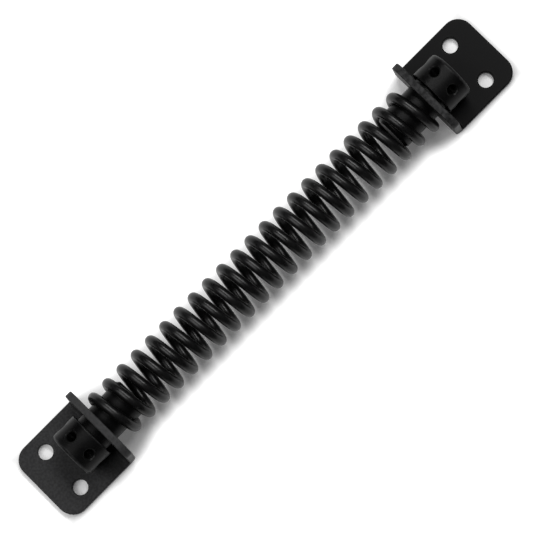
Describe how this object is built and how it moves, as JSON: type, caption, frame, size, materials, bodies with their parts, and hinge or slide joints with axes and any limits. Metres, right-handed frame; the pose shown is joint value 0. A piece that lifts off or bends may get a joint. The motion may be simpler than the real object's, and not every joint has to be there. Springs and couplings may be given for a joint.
{
  "type": "gate spring closer",
  "caption": "Straight gate spring: an open coil screwed onto swivelling plugs that run in two screw-on angle brackets, and pull a gate shut.",
  "frame": {"origin": "middle of the part, on the plane of the bracket plates' back faces, which lie on the post and the gate", "axes": "+X along the spring axis from the post bracket to the gate bracket, +Z away from the wood, +Y across"},
  "size_m": [0.203, 0.028, 0.022],
  "materials": {
    "wire_black": "semi-gloss black enamel on spring steel wire",
    "plug_black": "semi-gloss black enamel on turned steel",
    "sheet_black": "satin black powder coat on pressed steel sheet"
  },
  "bodies": {
    "post_bracket": {"post_bracket": "sheet_black"},
    "post_plug": {"post_plug": "plug_black", "coil_spring": "wire_black"},
    "gate_plug": {"gate_plug": "plug_black"},
    "gate_bracket": {"gate_bracket": "sheet_black"}
  },
  "joints": [
    {"name": "post_swivel", "type": "hinge", "parent": "post_bracket", "child": "post_plug", "pos_m": [-0.0736, 0, 0.012], "axis": [1, 0, 0], "continuous": true},
    {"name": "spring_stretch", "type": "slide", "parent": "post_plug", "child": "gate_plug", "axis": [1, 0, 0], "range_m": [-0.01, 0.028], "stiffness_N_per_m": 18100, "deforming": ["coil_spring"]},
    {"name": "gate_swivel", "type": "hinge", "parent": "gate_plug", "child": "gate_bracket", "pos_m": [0.0736, 0, 0.012], "axis": [1, 0, 0], "continuous": true}
  ]
}
